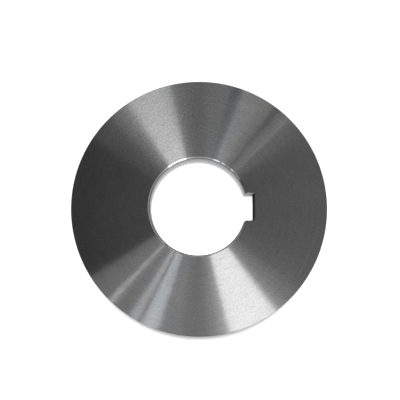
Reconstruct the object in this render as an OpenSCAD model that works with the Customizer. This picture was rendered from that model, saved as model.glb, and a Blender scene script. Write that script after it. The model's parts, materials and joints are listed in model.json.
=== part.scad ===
// Circular slitter knife: a flat ground steel ring with a keyed bore.
// It lies on its back face. The origin is the middle of that face, +Z runs up the bore, and the keyway points along +X.

/* [Ring] */
// Diameter over the two cutting edges, which are the sharp corners between the faces and the rim
knife_d = 210; // [180:1:300]
// Thickness between the two ground faces
knife_t = 20; // [10:0.5:40]

/* [Bore] */
// Diameter of the bore, which slides on the arbor
bore_d = 80; // [60:0.5:120]
// Width of the 45 degree chamfer at each mouth of the bore
bore_chamfer = 1.5; // [0.5:0.1:3]

/* [Keyway] */
// Width of the keyway between its two side walls
key_w = 22; // [12:0.5:32]
// Depth of the keyway past the bore wall, on its centre line
key_depth = 6.5; // [4:0.5:14]
// Radius in the two corners of the keyway floor
key_corner_r = 0.6; // [0.2:0.1:2]
// Width of the 45 degree break where the keyway sides meet the bore wall
key_break = 0.5; // [0.2:0.1:1.5]

/* [Hidden] */
knife_r = knife_d / 2;
bore_r = bore_d / 2;
// Where the keyway floor lies, and where a keyway side would meet the bore wall in a sharp corner
key_floor_x = bore_r + key_depth;
key_mouth_x = sqrt(bore_r * bore_r - key_w * key_w / 4);
// How far a cut runs past the surface that it opens
cut_past = 1;
$fn = 180;

// Half of the ring's section: square corners at the rim, a chamfer at each mouth of the bore
module ring_section() {
    polygon([
        [bore_r + bore_chamfer, 0],
        [knife_r, 0],
        [knife_r, knife_t],
        [bore_r + bore_chamfer, knife_t],
        [bore_r, knife_t - bore_chamfer],
        [bore_r, bore_chamfer],
    ]);
}

// The keyway seen along the bore: a slot from the bore's axis to its floor, with round floor corners
module keyway_outline() {
    half_w = key_w / 2;
    translate([0, -half_w])
        square([key_floor_x - key_corner_r, key_w]);
    translate([0, key_corner_r - half_w])
        square([key_floor_x, key_w - 2 * key_corner_r]);
    for (side = [-1, 1])
        translate([key_floor_x - key_corner_r, side * (half_w - key_corner_r)])
            circle(r = key_corner_r);
}

// The two corners that are broken where the keyway sides meet the bore wall
module mouth_breaks() {
    half_w = key_w / 2;
    reach = key_break + cut_past;
    for (side = [-1, 1])
        polygon([
            [key_mouth_x + key_break, side * half_w],
            [key_mouth_x - cut_past, side * (half_w + reach)],
            [key_mouth_x - cut_past, side * (half_w - cut_past)],
            [key_mouth_x + key_break, side * (half_w - cut_past)],
        ]);
}

module keyway_cut() {
    translate([0, 0, -cut_past])
        linear_extrude(height = knife_t + 2 * cut_past) {
            keyway_outline();
            mouth_breaks();
        }
}

module knife() {
    color([0.60, 0.60, 0.61])
        difference() {
            rotate_extrude() ring_section();
            keyway_cut();
        }
}

knife();
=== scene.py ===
"""A circular slitter knife lying on a white table under upright studio lamps, built round its CAD frame."""
import json
from math import cos, pi, radians, sin, sqrt, tan

import bmesh
import bpy
import numpy as np
from mathutils import Matrix, Vector


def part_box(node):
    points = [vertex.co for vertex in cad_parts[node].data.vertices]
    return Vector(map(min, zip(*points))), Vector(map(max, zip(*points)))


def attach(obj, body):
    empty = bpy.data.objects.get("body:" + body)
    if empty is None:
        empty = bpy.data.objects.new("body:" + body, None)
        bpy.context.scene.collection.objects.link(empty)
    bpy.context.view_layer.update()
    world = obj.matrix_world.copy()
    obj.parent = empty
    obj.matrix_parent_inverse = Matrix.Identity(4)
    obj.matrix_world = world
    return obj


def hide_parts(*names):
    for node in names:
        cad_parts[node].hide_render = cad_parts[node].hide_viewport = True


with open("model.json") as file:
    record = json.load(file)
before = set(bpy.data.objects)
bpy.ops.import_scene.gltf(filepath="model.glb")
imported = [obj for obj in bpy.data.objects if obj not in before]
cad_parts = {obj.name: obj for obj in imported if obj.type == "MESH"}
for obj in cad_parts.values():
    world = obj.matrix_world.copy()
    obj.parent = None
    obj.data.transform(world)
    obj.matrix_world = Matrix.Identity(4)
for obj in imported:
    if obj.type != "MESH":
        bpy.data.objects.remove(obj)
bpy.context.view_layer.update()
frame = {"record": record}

MM = 0.001

# The knife's sizes, taken from the CAD node's box and from the mounts in its record
knife_low, knife_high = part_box("knife")
mounts = {mount["name"]: mount for mount in frame["record"]["mounts"]}
knife_r = knife_high.x
thickness = knife_high.z
bore_r = mounts["bore"]["dims"]["r_mm"] * MM
chamfer = (thickness - mounts["bore"]["dims"]["length_mm"] * MM) / 2
key_floor_x = mounts["keyway"]["pos_m"][0]

# The keyway's width, the radius in its floor corners, and the break where its sides meet the bore
key_half_w = 11 * MM
key_corner_r = 0.6 * MM
key_break = 0.5 * MM
key_mouth_x = sqrt(bore_r**2 - key_half_w**2)
# How wide the edges of the keyway's sides are broken at the two faces
key_edge = 0.5 * MM
# How far the chamfers bulge, because their edges are stoned round
chamfer_bulge = 0.1 * MM

# How many steps the surface takes round the hole and along the knife's section
FLOOR_STEPS, CORNER_STEPS, SIDE_STEPS, BREAK_STEPS, ARC_STEPS = 16, 6, 7, 2, 328
FACE_STEPS, RIM_STEPS, CHAMFER_STEPS, WALL_STEPS = 14, 8, 6, 10


def hole_outline(radius, opened=0.0):
    """Keyway and bore seen from above, at a level where the bore has this radius and the keyway's side walls stand
    back by opened, counterclockwise from the middle of the keyway floor. Up the floor x = key_floor_x, a quarter
    circle, in along the side y = side_y, down the break x + y = k, then along the circle x = r cos a, y = r sin a to
    a = 180 degrees, and the mirror image back."""
    side_y, corner_r = key_half_w + opened, key_corner_r + opened
    k = key_mouth_x + key_break + key_half_w
    meet_y = max(side_y, (k - sqrt(2 * radius**2 - k**2)) / 2)
    meet_x = sqrt(radius**2 - meet_y**2)
    side_end_x = max(k - side_y, meet_x)
    corner_x, corner_y = key_floor_x - corner_r, side_y - corner_r
    turn = np.linspace(0, pi / 2, CORNER_STEPS, endpoint=False)
    arc = np.linspace(np.arctan2(meet_y, meet_x), pi, ARC_STEPS + 1)
    x = np.concatenate([
        np.full(FLOOR_STEPS, key_floor_x),
        corner_x + corner_r * np.cos(turn),
        np.linspace(corner_x, side_end_x, SIDE_STEPS, endpoint=False),
        np.linspace(side_end_x, meet_x, BREAK_STEPS, endpoint=False),
        radius * np.cos(arc),
    ])
    y = np.concatenate([
        np.linspace(0, corner_y, FLOOR_STEPS, endpoint=False),
        corner_y + corner_r * np.sin(turn),
        np.full(SIDE_STEPS, side_y),
        np.linspace(side_y, meet_y, BREAK_STEPS, endpoint=False),
        radius * np.sin(arc),
    ])
    upper = np.stack([x, y], axis=1)
    lower = upper[-2:0:-1] * (1, -1)
    return np.concatenate([upper, lower])


def chamfer_radius(depth):
    """The hole's radius on a chamfer, this deep below the face: a 45 degree slope less half a sine wave."""
    return bore_r + chamfer - depth - chamfer_bulge * sin(pi * depth / chamfer)


def knife_surface():
    """The knife's whole skin as a grid of points, one column for each point of the hole's outline and one row for each
    step along the section: out over the back face, up the rim, in over the front face, down the front chamfer, the
    bore wall and the back chamfer. A face point is (1 - t) times the hole's point plus t times the rim's point at the
    same angle. Gives the points, and for each row the finish that the strip after it has."""
    mouth = hole_outline(bore_r + chamfer, key_edge)
    wall = hole_outline(bore_r)
    angle = np.arctan2(mouth[:, 1], mouth[:, 0])
    rim = knife_r * np.stack([np.cos(angle), np.sin(angle)], axis=1)
    rows, finishes = [], []

    def add_row(plan, z, finish):
        rows.append(np.column_stack([plan, np.full(len(plan), z)]))
        finishes.append(finish)

    for t in np.linspace(0, 1, FACE_STEPS, endpoint=False):
        add_row(mouth * (1 - t) + rim * t, 0, "face")
    for t in np.linspace(0, 1, RIM_STEPS, endpoint=False):
        add_row(rim, thickness * t, "rim")
    for t in np.linspace(1, 0, FACE_STEPS, endpoint=False):
        add_row(mouth * (1 - t) + rim * t, thickness, "face")
    for depth in np.linspace(0, chamfer, CHAMFER_STEPS, endpoint=False):
        opened = max(0.0, key_edge - depth)
        add_row(hole_outline(chamfer_radius(depth), opened), thickness - depth, "chamfer")
    for t in np.linspace(0, 1, WALL_STEPS, endpoint=False):
        add_row(wall, thickness - chamfer - (thickness - 2 * chamfer) * t, "bore")
    for depth in np.linspace(chamfer, 0, CHAMFER_STEPS, endpoint=False):
        opened = max(0.0, key_edge - depth)
        add_row(hole_outline(chamfer_radius(depth), opened), depth, "chamfer")
    return np.array(rows), finishes


# A material's nodes


def add_node(tree, kind, inputs=None, **settings):
    """One node with its settings, and its inputs set to values or joined to other nodes' outputs."""
    node = tree.nodes.new(kind)
    for key, value in settings.items():
        setattr(node, key, value)
    for key, value in (inputs or {}).items():
        if isinstance(value, bpy.types.NodeSocket):
            tree.links.new(value, node.inputs[key])
        else:
            node.inputs[key].default_value = value
    return node


def math_node(tree, operation, *values):
    return add_node(tree, "ShaderNodeMath", dict(enumerate(values)), operation=operation).outputs[0]


def vector_node(tree, operation, *values):
    node = add_node(tree, "ShaderNodeVectorMath", dict(enumerate(values)), operation=operation)
    return node.outputs["Value" if operation in ("LENGTH", "DOT_PRODUCT") else "Vector"]


def remap(tree, value, low, high, to_low, to_high):
    node = add_node(
        tree, "ShaderNodeMapRange",
        {"Value": value, "From Min": low, "From Max": high, "To Min": to_low, "To Max": to_high},
    )
    return node.outputs["Result"]


def noise(tree, vector, scale, detail=2.0, roughness=0.5):
    node = add_node(
        tree, "ShaderNodeTexNoise",
        {"Vector": vector, "Scale": scale, "Detail": detail, "Roughness": roughness},
    )
    return node.outputs["Fac"]


def steel(name, grain, tone, roughness, anisotropy, streak, mottle, groove_depth, pit_depth, edge_tint, rim_line_tone=1.0,
          flank=0.0, flank_share=0.0, flank_roughness=0.0, painted_light_ramp=None):
    """Tool steel whose fine grooves run round the axis (grain "round") or along it (grain "along").
    Streaks follow the grooves: noise over the unit vector away from the axis and over radius plus height, so that a
    streak is long round the knife and narrow across. A fine mottle and a slow cloudiness lie over them. The tone is
    multiplied by 1 plus the streaks times streak plus the mottle times mottle, and the height is the streaks times
    groove_depth plus the mottle times pit_depth. The mottle grows up to PITTED times on the side of PITTED_AZIMUTH. The
    last half millimetre at the rim has the tone times the rim factor, a thin line along the edge. Where a height ramp
    is given as a factor and two heights, it paints light or shade by height: the tone is times the factor from the
    first height down, and grows to the full tone at the second. Where flank is given, the grooves are too fine to see,
    and flank_share of the surface is their two flanks, whose normals lean across the grain by flank to either side and
    which are smoother, flank_roughness."""
    material = bpy.data.materials.new(name)
    material.use_nodes = True
    tree = material.node_tree
    tree.nodes.clear()
    place = add_node(tree, "ShaderNodeTexCoord").outputs["Object"]
    split = add_node(tree, "ShaderNodeSeparateXYZ", {0: place}).outputs
    plan = add_node(tree, "ShaderNodeCombineXYZ", {0: split[0], 1: split[1]}).outputs[0]
    away = vector_node(tree, "NORMALIZE", plan)
    radius = vector_node(tree, "LENGTH", plan)
    normal = add_node(tree, "ShaderNodeNewGeometry").outputs["Normal"]
    if grain == "round":
        left = math_node(tree, "MULTIPLY", split[1], -1.0)
        round_way = add_node(tree, "ShaderNodeCombineXYZ", {0: left, 1: split[0]}).outputs[0]
        groove = vector_node(tree, "NORMALIZE", round_way)
        depth = math_node(tree, "MULTIPLY_ADD", split[2], 1.7, radius)
        streak_at = add_node(tree, "ShaderNodeCombineXYZ", {2: math_node(tree, "MULTIPLY", depth, 420.0)}).outputs[0]
        streak_at = vector_node(tree, "MULTIPLY_ADD", away, (6.0, 6.0, 0.0), streak_at)
    else:
        groove = add_node(tree, "ShaderNodeCombineXYZ", {2: 1.0}).outputs[0]
        streak_at = vector_node(tree, "MULTIPLY", place, (900.0, 900.0, 40.0))
    across = vector_node(tree, "CROSS_PRODUCT", normal, groove)
    streaks = remap(tree, noise(tree, streak_at, 1.0, detail=5.0, roughness=0.65), 0.3, 0.7, -1.0, 1.0)
    spots = remap(tree, noise(tree, place, MOTTLE_SCALE, detail=2.0, roughness=0.6), 0.3, 0.7, -1.0, 1.0)
    cloud = remap(tree, noise(tree, place, CLOUD_SCALE, detail=3.0, roughness=0.55), 0.3, 0.7, -1.0, 1.0)

    pitted_way = (cos(radians(PITTED_AZIMUTH)), sin(radians(PITTED_AZIMUTH)), 0.0)
    facing_pits = vector_node(tree, "DOT_PRODUCT", away, pitted_way)
    pitted = remap(tree, facing_pits, 0.7, 0.95, 1.0, PITTED)
    value = math_node(tree, "MULTIPLY_ADD", streaks, streak, 1.0)
    value = math_node(tree, "MULTIPLY_ADD", math_node(tree, "MULTIPLY", spots, pitted), mottle, value)
    value = math_node(tree, "MULTIPLY_ADD", cloud, CLOUD_TONE, value)
    # The last half millimetre at the rim has its tone times the rim factor, a thin line along the edge.
    edge = remap(tree, radius, knife_r - 0.6 * MM, knife_r - 0.4 * MM, 1.0, rim_line_tone)
    value = math_node(tree, "MULTIPLY", value, edge)
    # A height ramp on the tone paints light or shade by height.
    if painted_light_ramp:
        factor, low, high = painted_light_ramp
        value = math_node(tree, "MULTIPLY", value, remap(tree, split[2], low, high, factor, 1.0))
    grey = add_node(tree, "ShaderNodeCombineXYZ", {0: value, 1: value, 2: value}).outputs[0]
    colour = vector_node(tree, "MULTIPLY", tone, grey)
    rough = math_node(tree, "MULTIPLY_ADD", streaks, -ROUGHNESS_SWING, roughness)
    height = math_node(tree, "MULTIPLY", streaks, groove_depth)
    height = math_node(tree, "MULTIPLY_ADD", spots, pit_depth, height)
    bump = add_node(tree, "ShaderNodeBump", {"Height": height, "Strength": 1.0, "Distance": 1.0}).outputs[0]

    def ground(facing, rough):
        return add_node(tree, "ShaderNodeBsdfPrincipled", {
            "Base Color": colour, "Metallic": 1.0, "Roughness": rough, "Anisotropic": anisotropy, "Tangent": across,
            "Specular Tint": (edge_tint, edge_tint, edge_tint, 1.0), "Normal": facing,
        }).outputs[0]

    skin = ground(bump, rough)
    if flank:
        leant = [vector_node(tree, "MULTIPLY_ADD", across, (lean, lean, lean), bump) for lean in (-flank, flank)]
        flanks = [ground(vector_node(tree, "NORMALIZE", facing), flank_roughness) for facing in leant]
        both = add_node(tree, "ShaderNodeMixShader", {0: 0.5, 1: flanks[0], 2: flanks[1]}).outputs[0]
        skin = add_node(tree, "ShaderNodeMixShader", {0: flank_share, 1: skin, 2: both}).outputs[0]
    add_node(tree, "ShaderNodeOutputMaterial", {"Surface": skin})
    return material


MOTTLE_SCALE, CLOUD_SCALE, CLOUD_TONE, ROUGHNESS_SWING = 700.0, 38.0, 0.03, 0.004
PITTED, PITTED_AZIMUTH = 1.8, 113.0
FINISHES = {
    # The face is a little darker in its last half millimetre at the rim.
    "face": steel("ground_face", "round", (0.60, 0.60, 0.603), 0.28, 1.0, 0.08, 0.13, 0.1e-6, 0.15e-6, 0.2,
                  rim_line_tone=0.8, flank=0.36, flank_share=0.65, flank_roughness=0.21),
    "rim": steel("ground_rim", "round", (0.50, 0.50, 0.505), 0.34, 0.8, 0.08, 0.06, 0.6e-6, 0.8e-6, 0.5),
    # The chamfer's tone falls to 0.32 of itself towards the bore: painted shade on its inner part, a dark line round
    # the hole, so that only its outer edge shows bright highlights.
    "chamfer": steel("turned_chamfer", "round", (0.43, 0.43, 0.433), 0.13, 0.6, 0.06, 0.05, 0.3e-6, 0.3e-6, 0.9,
                     painted_light_ramp=(0.32, thickness - chamfer, thickness - 0.25 * chamfer)),
    # The bore wall's tone is 2.2 times brighter near the back face and eases to its own tone three quarters of the way
    # up: a painted reflection of the white table on the wall's lower part.
    "bore": steel("honed_bore", "round", (0.25, 0.25, 0.253), 0.36, 0.8, 0.08, 0.06, 1.0e-6, 1.0e-6, 0.5,
                  painted_light_ramp=(2.2, 0.1 * thickness, 0.75 * thickness)),
    "keyway": steel("broached_keyway", "along", (0.06, 0.06, 0.062), 0.50, 0.5, 0.12, 0.12, 2.0e-6, 2.0e-6, 0.0),
}


def make_knife():
    """The knife as one closed mesh, its grid wrapped both ways, with the points merged where the keyway's break runs
    out at the chamfers."""
    points, finishes = knife_surface()
    row_count, column_count = points.shape[:2]
    number = np.arange(row_count * column_count).reshape(row_count, column_count)
    next_row, next_column = np.roll(number, -1, 0), np.roll(number, -1, 1)
    quads = np.stack([number, next_column, np.roll(next_row, -1, 1), next_row], axis=2).reshape(-1, 4)

    slots = ["face", "rim", "chamfer", "bore", "keyway"]
    finish_of = np.repeat([[slots.index(finish)] for finish in finishes], column_count, axis=1)
    in_hole = np.array([finish in ("chamfer", "bore") for finish in finishes])
    for steps, slot in ((FLOOR_STEPS + CORNER_STEPS + SIDE_STEPS, "bore"), (FLOOR_STEPS + CORNER_STEPS, "keyway")):
        finish_of[in_hole, :steps] = slots.index(slot)
        finish_of[in_hole, column_count - steps:] = slots.index(slot)

    mesh = bpy.data.meshes.new("ground_knife")
    mesh.from_pydata(points.reshape(-1, 3).tolist(), [], quads.tolist())
    for slot in slots:
        mesh.materials.append(FINISHES[slot])
    mesh.polygons.foreach_set("material_index", finish_of.reshape(-1).astype(np.int32))
    merged = bmesh.new()
    merged.from_mesh(mesh)
    bmesh.ops.remove_doubles(merged, verts=merged.verts, dist=0.001 * MM)
    bmesh.ops.dissolve_degenerate(merged, edges=merged.edges, dist=0.001 * MM)
    merged.to_mesh(mesh)
    merged.free()
    mesh.shade_smooth()
    mesh.set_sharp_from_angle(angle=radians(25))
    knife = bpy.data.objects.new("ground_knife", mesh)
    bpy.context.scene.collection.objects.link(knife)
    return knife


knife = make_knife()
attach(knife, "root")
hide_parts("knife")


# The table, the room and the lamps


def make_table():
    """A white table top, wide enough to fill every view. Under and inside the knife it also glows white to the camera
    and in reflections, a painted light that stands in for the light the bore hides from the lamp above the table. Along
    the foot of the bore wall the glow is dimmer, a painted soft shade."""
    half = 8.0
    corners = [(-half, -half, 0), (half, -half, 0), (half, half, 0), (-half, half, 0)]
    mesh = bpy.data.meshes.new("table_top")
    mesh.from_pydata(corners, [], [(0, 1, 2, 3)])
    material = bpy.data.materials.new("white_table")
    material.use_nodes = True
    tree = material.node_tree
    tree.nodes.clear()
    path = add_node(tree, "ShaderNodeLightPath").outputs
    seen = math_node(tree, "MAXIMUM", path["Is Camera Ray"], path["Is Glossy Ray"])
    seen = math_node(tree, "MAXIMUM", seen, path["Is Transmission Ray"])
    place = add_node(tree, "ShaderNodeTexCoord").outputs["Object"]
    away = vector_node(tree, "LENGTH", place)
    split = add_node(tree, "ShaderNodeSeparateXYZ", {0: place}).outputs
    beside_key = math_node(tree, "SUBTRACT", math_node(tree, "ABSOLUTE", split[1]), key_half_w)
    past_key = math_node(tree, "SUBTRACT", split[0], key_floor_x)
    behind_key = math_node(tree, "MULTIPLY", split[0], -1.0)
    outside_key = math_node(tree, "MAXIMUM", math_node(tree, "MAXIMUM", beside_key, past_key), behind_key)
    outside_hole = math_node(tree, "MINIMUM", math_node(tree, "SUBTRACT", away, bore_r), outside_key)
    # Near the foot of the bore wall the glow falls from INNER_GLOW to WALL_GLOW: painted soft shade along the wall's
    # foot, and painted light over the lamp's shadow inside the hole.
    inner = remap(tree, outside_hole, -1.5 * MM, 1.0 * MM, INNER_GLOW, WALL_GLOW)
    strength = remap(tree, away, bore_r * 1.4, bore_r * 2.0, inner, OUTER_GLOW)
    glow = add_node(tree, "ShaderNodeEmission", {
        "Color": (1, 1, 1, 1), "Strength": math_node(tree, "MULTIPLY", seen, strength),
    })
    paint = add_node(tree, "ShaderNodeBsdfDiffuse", {"Color": (0.9, 0.9, 0.9, 1)})
    both = add_node(tree, "ShaderNodeAddShader", {0: glow.outputs[0], 1: paint.outputs[0]})
    add_node(tree, "ShaderNodeOutputMaterial", {"Surface": both.outputs[0]})
    mesh.materials.append(material)
    table = bpy.data.objects.new("table_top", mesh)
    bpy.context.scene.collection.objects.link(table)
    return table


def make_room():
    """White to the camera, otherwise a dark room with a pale band just above the horizon."""
    world = bpy.data.worlds.new("studio_room")
    bpy.context.scene.world = world
    world.use_nodes = True
    tree = world.node_tree
    tree.nodes.clear()
    direction = add_node(tree, "ShaderNodeTexCoord").outputs["Generated"]
    height = add_node(tree, "ShaderNodeSeparateXYZ", {0: direction}).outputs[2]
    band = remap(tree, height, sin(radians(2)), sin(radians(22)), HORIZON_GLOW, ROOM_GLOW)
    camera = add_node(tree, "ShaderNodeLightPath").outputs["Is Camera Ray"]
    rest = math_node(tree, "SUBTRACT", 1.0, camera)
    strength = math_node(tree, "MULTIPLY_ADD", band, rest, camera)
    room = add_node(tree, "ShaderNodeBackground", {"Color": (1, 1, 1, 1), "Strength": strength})
    add_node(tree, "ShaderNodeOutputWorld", {"Surface": room.outputs[0]})


def light_only(lamp, lit):
    """Makes a lamp light one thing alone."""
    lit_things = bpy.data.collections.new("lit_by_" + lamp.name)
    lit_things.objects.link(lit)
    lamp.light_linking.receiver_collection = lit_things


def add_panel(name, azimuth, spread, foot, head, brightness, tint):
    """An upright rectangular lamp that faces the axis from PANEL_DISTANCE away. Azimuth and spread are degrees round
    the axis, foot and head are heights, and power is brightness times area."""
    width = 2 * PANEL_DISTANCE * tan(radians(spread / 2))
    lamp = bpy.data.lights.new(name, "AREA")
    lamp.shape = "RECTANGLE"
    lamp.size, lamp.size_y = width, head - foot
    lamp.energy = brightness * width * (head - foot)
    lamp.color = tint
    panel = bpy.data.objects.new(name, lamp)
    away = Vector((cos(radians(azimuth)), sin(radians(azimuth)), 0))
    side = Vector((0, 0, 1)).cross(away)
    turn = Matrix((side, Vector((0, 0, 1)), away)).transposed().to_4x4()
    panel.matrix_world = Matrix.Translation(away * PANEL_DISTANCE + Vector((0, 0, (foot + head) / 2))) @ turn
    panel.visible_camera = False
    bpy.context.scene.collection.objects.link(panel)
    light_only(panel, knife)


def add_table_lamp():
    """The lamp for the table alone. It stands a little behind the vertical, so that the knife's shadow shows as a
    thin soft line along the near side of the rim."""
    lamp = bpy.data.lights.new("table_lamp", "SUN")
    lamp.angle = radians(TABLE_LAMP_SIZE)
    lamp.energy = TABLE_LAMP_POWER
    sun = bpy.data.objects.new("table_lamp", lamp)
    lean, turn = radians(TABLE_LAMP_LEAN), radians(TABLE_LAMP_AZIMUTH)
    towards = Vector((sin(lean) * cos(turn), sin(lean) * sin(turn), cos(lean)))
    sun.matrix_world = towards.to_track_quat("Z", "Y").to_matrix().to_4x4()
    bpy.context.scene.collection.objects.link(sun)
    light_only(sun, table)


INNER_GLOW, WALL_GLOW, OUTER_GLOW = 0.95, 0.5, 0.2
HORIZON_GLOW, ROOM_GLOW = 0.45, 0.003
TABLE_LAMP_SIZE, TABLE_LAMP_POWER, TABLE_LAMP_LEAN, TABLE_LAMP_AZIMUTH = 14.0, 3.2, 14.5, 90.0
PANEL_DISTANCE = 1.0
WHITE, COOL, WARM = (1.0, 1.0, 1.0), (0.95, 1.0, 1.05), (1.03, 1.0, 0.97)
table = make_table()
make_room()
add_table_lamp()
for panel in [
    ("tall_softbox", 298.8, 25.2, 0.06, 1.7, 11.2, WHITE),
    ("right_wall", 314.2, 5.6, 0.06, 1.7, 2.7, WHITE),
    ("right_curtain", 321.5, 9.0, 0.06, 1.7, 1.95, WHITE),
    ("far_right_wall", 335.5, 19.0, 0.06, 1.7, 1.35, WHITE),
    ("far_right_corner", 352.5, 15.0, 0.06, 1.7, 1.25, WHITE),
    ("side_wall", 9.0, 18.0, 0.06, 1.7, 1.15, WHITE),
    ("far_side_wall", 27.2, 18.4, 0.06, 1.7, 1.05, WHITE),
    ("back_right_wall", 45.2, 17.6, 0.06, 1.7, 1.05, WHITE),
    ("room_corner", 49.4, 1.0, 0.06, 1.7, 2.4, WHITE),
    ("back_curtain", 64.0, 14.6, 0.06, 1.7, 1.6, WARM),
    ("cupboard", 81.5, 11.0, 0.06, 1.7, 1.2, WHITE),
    ("back_wall", 94.6, 15.2, 0.06, 1.7, 0.9, WHITE),
    ("back_left_edge", 104.6, 4.8, 0.06, 1.7, 2.6, WHITE),
    ("back_left_wall", 114.0, 14.0, 0.06, 1.7, 3.0, WHITE),
    ("dim_left_wall", 125.5, 9.0, 0.06, 1.7, 1.05, WHITE),
    ("dimmer_left_wall", 136.0, 12.0, 0.06, 1.7, 0.4, WHITE),
    ("left_wall", 224.2, 31.5, 0.06, 1.7, 1.4, WHITE),
    ("narrow_strip", 223.4, 0.8, 0.12, 1.7, 16.5, WHITE),
    ("left_window", 237.4, 4.7, 0.12, 1.7, 3.7, COOL),
    ("right_window", 246.1, 8.7, 0.12, 1.7, 6.7, COOL),
    ("front_wall", 256.3, 11.4, 0.06, 1.7, 2.2, WHITE),
    ("front_curtain", 268.8, 13.5, 0.06, 1.7, 1.7, WHITE),
    ("softbox_frame", 278.3, 5.6, 0.06, 1.7, 2.4, WHITE),
    ("softbox_edge", 283.6, 5.2, 0.06, 1.7, 3.5, WHITE),
]:
    add_panel(*panel)


def make_camera():
    """A near camera almost straight above the knife, a little towards the viewer, aimed at a point on its front face.
    Its small shift sets the knife in the middle of the frame without turning the camera to it."""
    tilt, azimuth, roll = radians(5.444), radians(-71.91), radians(0.6725)
    distance, lens, aim = 0.42166, 46.27, Vector((-0.012976, -0.005489, thickness))
    back = Vector((sin(tilt) * cos(azimuth), sin(tilt) * sin(azimuth), cos(tilt)))
    right = Vector((0, 1, 0)).cross(back).normalized()
    up = back.cross(right)
    rolled_right = right * cos(roll) + up * sin(roll)
    rolled_up = up * cos(roll) - right * sin(roll)
    camera = bpy.data.objects.new("camera", bpy.data.cameras.new("camera"))
    camera.data.lens = lens
    camera.data.shift_x, camera.data.shift_y = 0.0444, 0.0322
    camera.data.clip_start, camera.data.clip_end = 0.01, 30
    turn = Matrix((rolled_right, rolled_up, back)).transposed().to_4x4()
    camera.matrix_world = Matrix.Translation(aim + back * distance) @ turn
    bpy.context.scene.collection.objects.link(camera)
    bpy.context.scene.camera = camera


make_camera()
bpy.context.scene.view_settings.view_transform = "Standard"

bpy.context.view_layer.update()
